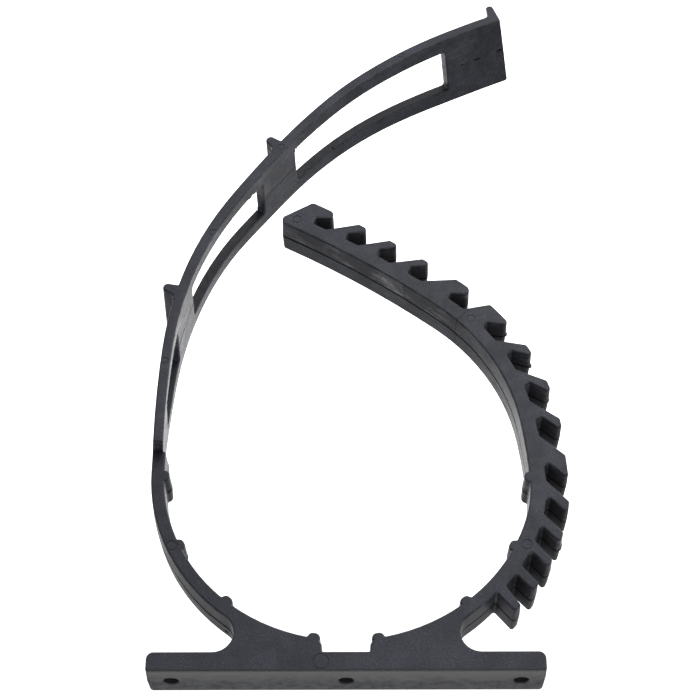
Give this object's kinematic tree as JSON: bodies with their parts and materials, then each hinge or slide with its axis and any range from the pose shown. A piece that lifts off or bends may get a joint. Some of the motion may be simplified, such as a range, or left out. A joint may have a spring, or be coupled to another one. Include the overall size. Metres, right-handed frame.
{
  "type": "rubber clamp",
  "caption": "One-piece rubber clamp with a screw-down base, a round cradle, a toothed arm and a long strap with windows that hooks over the teeth to hold a tool, pipe or hose.",
  "frame": {"origin": "centre of the mounting face, on the axis of the middle screw hole", "axes": "+Z away from the mounting face, up through the cradle; +X along the base towards the toothed arm; +Y across the base"},
  "size_m": [0.1982, 0.0454, 0.3928],
  "materials": {
    "rubber": "matt black moulded rubber with a slight sheen and a fine dusty bloom"
  },
  "bodies": {
    "root": {"clamp": "rubber"}
  },
  "joints": []
}
